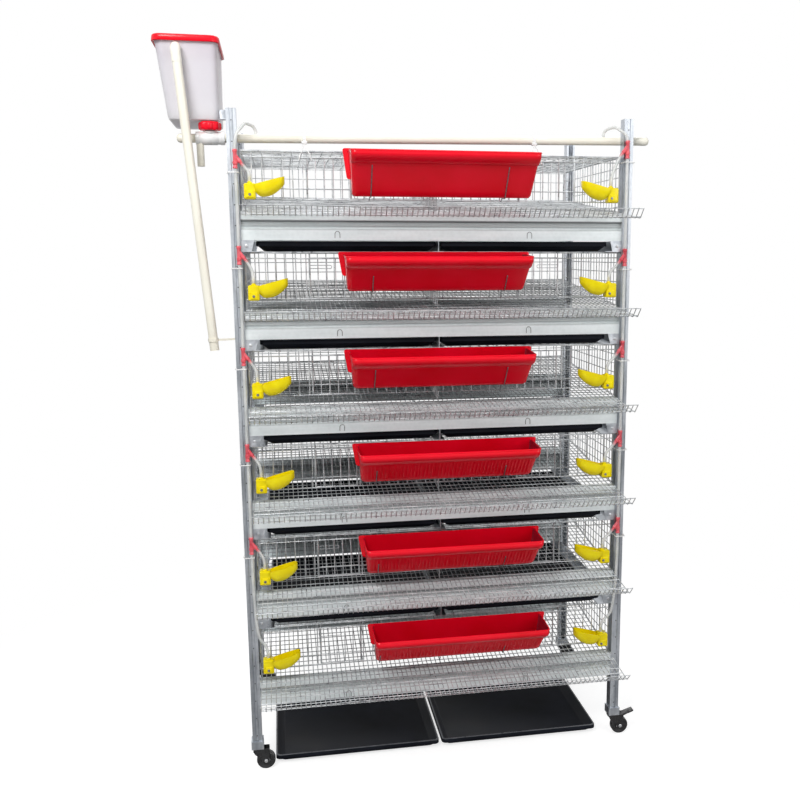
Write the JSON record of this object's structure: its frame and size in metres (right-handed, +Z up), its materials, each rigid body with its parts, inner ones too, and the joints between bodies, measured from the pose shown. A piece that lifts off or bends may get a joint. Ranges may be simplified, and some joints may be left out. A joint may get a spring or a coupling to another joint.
{
  "type": "quail cage",
  "caption": "Battery cage for quail: stacked wire tiers with roll-out floors, feed troughs, drinker cups and dung trays on a wheeled steel frame with a side water tank.",
  "frame": {"origin": "on the floor, midway between the four casters", "axes": "+X to the right seen from the front, +Y to the back, +Z up; the troughs and the roll-out floors face -Y"},
  "size_m": [1.2572, 0.7312, 1.893],
  "materials": {
    "galvanised": "zinc-coated sheet, satin",
    "zinc_wire": "bright zinc-coated wire",
    "red_plastic": "glossy",
    "yellow_plastic": "glossy",
    "cream_plastic": "semi-gloss",
    "milky_plastic": "translucent",
    "tee_plastic": "slightly translucent",
    "hose_plastic": "translucent",
    "black_plastic": "satin",
    "black_gloss": "glossy"
  },
  "bodies": {
    "frame": {"front_posts": "galvanised", "rear_posts": "galvanised", "front_beams": "galvanised", "rear_beams": "galvanised", "tray_rails": "galvanised", "cage_floors": "zinc_wire", "cage_fronts": "zinc_wire", "cage_walls": "zinc_wire", "cage_tops": "zinc_wire", "cage_partitions": "zinc_wire", "trough_hooks": "zinc_wire", "drinker_cups": "yellow_plastic", "hose_tees": "tee_plastic", "water_hoses": "hose_plastic", "supply_pipe": "cream_plastic", "inlet_riser": "cream_plastic", "water_tank": "milky_plastic", "ties_and_fasteners": "cream_plastic"},
    "manure_tray_1_left": {"manure_tray_1_left": "black_plastic"},
    "door_1_left": {"door_1_left": "zinc_wire"},
    "manure_tray_1_right": {"manure_tray_1_right": "black_plastic"},
    "door_1_right": {"door_1_right": "zinc_wire"},
    "feed_trough_1": {"feed_trough_1": "red_plastic"},
    "manure_tray_2_left": {"manure_tray_2_left": "black_plastic"},
    "door_2_left": {"door_2_left": "zinc_wire"},
    "manure_tray_2_right": {"manure_tray_2_right": "black_plastic"},
    "door_2_right": {"door_2_right": "zinc_wire"},
    "feed_trough_2": {"feed_trough_2": "red_plastic"},
    "manure_tray_3_left": {"manure_tray_3_left": "black_plastic"},
    "door_3_left": {"door_3_left": "zinc_wire"},
    "manure_tray_3_right": {"manure_tray_3_right": "black_plastic"},
    "door_3_right": {"door_3_right": "zinc_wire"},
    "feed_trough_3": {"feed_trough_3": "red_plastic"},
    "manure_tray_4_left": {"manure_tray_4_left": "black_plastic"},
    "door_4_left": {"door_4_left": "zinc_wire"},
    "manure_tray_4_right": {"manure_tray_4_right": "black_plastic"},
    "door_4_right": {"door_4_right": "zinc_wire"},
    "feed_trough_4": {"feed_trough_4": "red_plastic"},
    "manure_tray_5_left": {"manure_tray_5_left": "black_plastic"},
    "door_5_left": {"door_5_left": "zinc_wire"},
    "manure_tray_5_right": {"manure_tray_5_right": "black_plastic"},
    "door_5_right": {"door_5_right": "zinc_wire"},
    "feed_trough_5": {"feed_trough_5": "red_plastic"},
    "manure_tray_6_left": {"manure_tray_6_left": "black_plastic"},
    "door_6_left": {"door_6_left": "zinc_wire"},
    "manure_tray_6_right": {"manure_tray_6_right": "black_plastic"},
    "door_6_right": {"door_6_right": "zinc_wire"},
    "feed_trough_6": {"feed_trough_6": "red_plastic"},
    "tank_lid": {"tank_lid": "red_plastic"},
    "tank_valve_knob": {"tank_valve_knob": "red_plastic"},
    "caster_fork_front_left": {"caster_fork_front_left": "black_gloss"},
    "caster_wheel_front_left": {"caster_wheel_front_left": "black_gloss"},
    "caster_fork_front_right": {"caster_fork_front_right": "black_gloss"},
    "caster_wheel_front_right": {"caster_wheel_front_right": "black_gloss"},
    "brake_pedal_front_right": {"brake_pedal_front_right": "black_gloss"},
    "caster_fork_rear_left": {"caster_fork_rear_left": "black_gloss"},
    "caster_wheel_rear_left": {"caster_wheel_rear_left": "black_gloss"},
    "brake_pedal_rear_left": {"brake_pedal_rear_left": "black_gloss"},
    "caster_fork_rear_right": {"caster_fork_rear_right": "black_gloss"},
    "caster_wheel_rear_right": {"caster_wheel_rear_right": "black_gloss"}
  },
  "joints": [
    {"name": "manure_tray_1_left_slide", "type": "slide", "parent": "frame", "child": "manure_tray_1_left", "axis": [0, -1, 0], "range_m": [0, 0.4]},
    {"name": "door_1_left_hinge", "type": "hinge", "parent": "frame", "child": "door_1_left", "pos_m": [-0.274, -0.2574, 1.617], "axis": [1, 0, 0], "range_deg": [0, 80]},
    {"name": "manure_tray_1_right_slide", "type": "slide", "parent": "frame", "child": "manure_tray_1_right", "axis": [0, -1, 0], "range_m": [0, 0.4]},
    {"name": "door_1_right_hinge", "type": "hinge", "parent": "frame", "child": "door_1_right", "pos_m": [0.268, -0.2574, 1.617], "axis": [1, 0, 0], "range_deg": [0, 80]},
    {"name": "feed_trough_1_lift", "type": "slide", "parent": "frame", "child": "feed_trough_1", "axis": [0, 0, -1], "range_m": [-0.06, 0]},
    {"name": "manure_tray_2_left_slide", "type": "slide", "parent": "frame", "child": "manure_tray_2_left", "axis": [0, -1, 0], "range_m": [0, 0.4]},
    {"name": "door_2_left_hinge", "type": "hinge", "parent": "frame", "child": "door_2_left", "pos_m": [-0.274, -0.2574, 1.371], "axis": [1, 0, 0], "range_deg": [0, 80]},
    {"name": "manure_tray_2_right_slide", "type": "slide", "parent": "frame", "child": "manure_tray_2_right", "axis": [0, -1, 0], "range_m": [0, 0.4]},
    {"name": "door_2_right_hinge", "type": "hinge", "parent": "frame", "child": "door_2_right", "pos_m": [0.268, -0.2574, 1.371], "axis": [1, 0, 0], "range_deg": [0, 80]},
    {"name": "feed_trough_2_lift", "type": "slide", "parent": "frame", "child": "feed_trough_2", "axis": [0, 0, -1], "range_m": [-0.06, 0]},
    {"name": "manure_tray_3_left_slide", "type": "slide", "parent": "frame", "child": "manure_tray_3_left", "axis": [0, -1, 0], "range_m": [0, 0.4]},
    {"name": "door_3_left_hinge", "type": "hinge", "parent": "frame", "child": "door_3_left", "pos_m": [-0.274, -0.2574, 1.125], "axis": [1, 0, 0], "range_deg": [0, 80]},
    {"name": "manure_tray_3_right_slide", "type": "slide", "parent": "frame", "child": "manure_tray_3_right", "axis": [0, -1, 0], "range_m": [0, 0.4]},
    {"name": "door_3_right_hinge", "type": "hinge", "parent": "frame", "child": "door_3_right", "pos_m": [0.268, -0.2574, 1.125], "axis": [1, 0, 0], "range_deg": [0, 80]},
    {"name": "feed_trough_3_lift", "type": "slide", "parent": "frame", "child": "feed_trough_3", "axis": [0, 0, -1], "range_m": [-0.06, 0]},
    {"name": "manure_tray_4_left_slide", "type": "slide", "parent": "frame", "child": "manure_tray_4_left", "axis": [0, -1, 0], "range_m": [0, 0.4]},
    {"name": "door_4_left_hinge", "type": "hinge", "parent": "frame", "child": "door_4_left", "pos_m": [-0.274, -0.2574, 0.879], "axis": [1, 0, 0], "range_deg": [0, 80]},
    {"name": "manure_tray_4_right_slide", "type": "slide", "parent": "frame", "child": "manure_tray_4_right", "axis": [0, -1, 0], "range_m": [0, 0.4]},
    {"name": "door_4_right_hinge", "type": "hinge", "parent": "frame", "child": "door_4_right", "pos_m": [0.268, -0.2574, 0.879], "axis": [1, 0, 0], "range_deg": [0, 80]},
    {"name": "feed_trough_4_lift", "type": "slide", "parent": "frame", "child": "feed_trough_4", "axis": [0, 0, -1], "range_m": [-0.06, 0]},
    {"name": "manure_tray_5_left_slide", "type": "slide", "parent": "frame", "child": "manure_tray_5_left", "axis": [0, -1, 0], "range_m": [0, 0.4]},
    {"name": "door_5_left_hinge", "type": "hinge", "parent": "frame", "child": "door_5_left", "pos_m": [-0.274, -0.2574, 0.633], "axis": [1, 0, 0], "range_deg": [0, 80]},
    {"name": "manure_tray_5_right_slide", "type": "slide", "parent": "frame", "child": "manure_tray_5_right", "axis": [0, -1, 0], "range_m": [0, 0.4]},
    {"name": "door_5_right_hinge", "type": "hinge", "parent": "frame", "child": "door_5_right", "pos_m": [0.268, -0.2574, 0.633], "axis": [1, 0, 0], "range_deg": [0, 80]},
    {"name": "feed_trough_5_lift", "type": "slide", "parent": "frame", "child": "feed_trough_5", "axis": [0, 0, -1], "range_m": [-0.06, 0]},
    {"name": "manure_tray_6_left_slide", "type": "slide", "parent": "frame", "child": "manure_tray_6_left", "axis": [0, -1, 0], "range_m": [0, 0.4]},
    {"name": "door_6_left_hinge", "type": "hinge", "parent": "frame", "child": "door_6_left", "pos_m": [-0.274, -0.2574, 0.387], "axis": [1, 0, 0], "range_deg": [0, 80]},
    {"name": "manure_tray_6_right_slide", "type": "slide", "parent": "frame", "child": "manure_tray_6_right", "axis": [0, -1, 0], "range_m": [0, 0.4]},
    {"name": "door_6_right_hinge", "type": "hinge", "parent": "frame", "child": "door_6_right", "pos_m": [0.268, -0.2574, 0.387], "axis": [1, 0, 0], "range_deg": [0, 80]},
    {"name": "feed_trough_6_lift", "type": "slide", "parent": "frame", "child": "feed_trough_6", "axis": [0, 0, -1], "range_m": [-0.06, 0]},
    {"name": "tank_lid_lift", "type": "slide", "parent": "frame", "child": "tank_lid", "axis": [0, 0, 1], "range_m": [0, 0.05]},
    {"name": "tank_valve_turn", "type": "hinge", "parent": "frame", "child": "tank_valve_knob", "pos_m": [-0.557, -0.2357, 1.6885], "axis": [0, 0, 1], "range_deg": [0, 300]},
    {"name": "caster_fork_front_left_swivel", "type": "hinge", "parent": "frame", "child": "caster_fork_front_left", "pos_m": [-0.505, -0.262, 0.0617], "axis": [0, 0, 1], "continuous": true},
    {"name": "caster_wheel_front_left_roll", "type": "hinge", "parent": "caster_fork_front_left", "child": "caster_wheel_front_left", "pos_m": [-0.484, -0.262, 0.025], "axis": [0, 1, 0], "continuous": true},
    {"name": "caster_fork_front_right_swivel", "type": "hinge", "parent": "frame", "child": "caster_fork_front_right", "pos_m": [0.505, -0.262, 0.0617], "axis": [0, 0, 1], "continuous": true},
    {"name": "caster_wheel_front_right_roll", "type": "hinge", "parent": "caster_fork_front_right", "child": "caster_wheel_front_right", "pos_m": [0.526, -0.262, 0.025], "axis": [0, 1, 0], "continuous": true},
    {"name": "brake_pedal_front_right_press", "type": "hinge", "parent": "caster_fork_front_right", "child": "brake_pedal_front_right", "pos_m": [0.532, -0.262, 0.0555], "axis": [0, 1, 0], "range_deg": [0, 12]},
    {"name": "caster_fork_rear_left_swivel", "type": "hinge", "parent": "frame", "child": "caster_fork_rear_left", "pos_m": [-0.505, 0.262, 0.0617], "axis": [0, 0, 1], "continuous": true},
    {"name": "caster_wheel_rear_left_roll", "type": "hinge", "parent": "caster_fork_rear_left", "child": "caster_wheel_rear_left", "pos_m": [-0.484, 0.262, 0.025], "axis": [0, 1, 0], "continuous": true},
    {"name": "brake_pedal_rear_left_press", "type": "hinge", "parent": "caster_fork_rear_left", "child": "brake_pedal_rear_left", "pos_m": [-0.478, 0.262, 0.0555], "axis": [0, 1, 0], "range_deg": [0, 12]},
    {"name": "caster_fork_rear_right_swivel", "type": "hinge", "parent": "frame", "child": "caster_fork_rear_right", "pos_m": [0.505, 0.262, 0.0617], "axis": [0, 0, 1], "continuous": true},
    {"name": "caster_wheel_rear_right_roll", "type": "hinge", "parent": "caster_fork_rear_right", "child": "caster_wheel_rear_right", "pos_m": [0.526, 0.262, 0.025], "axis": [0, 1, 0], "continuous": true}
  ]
}
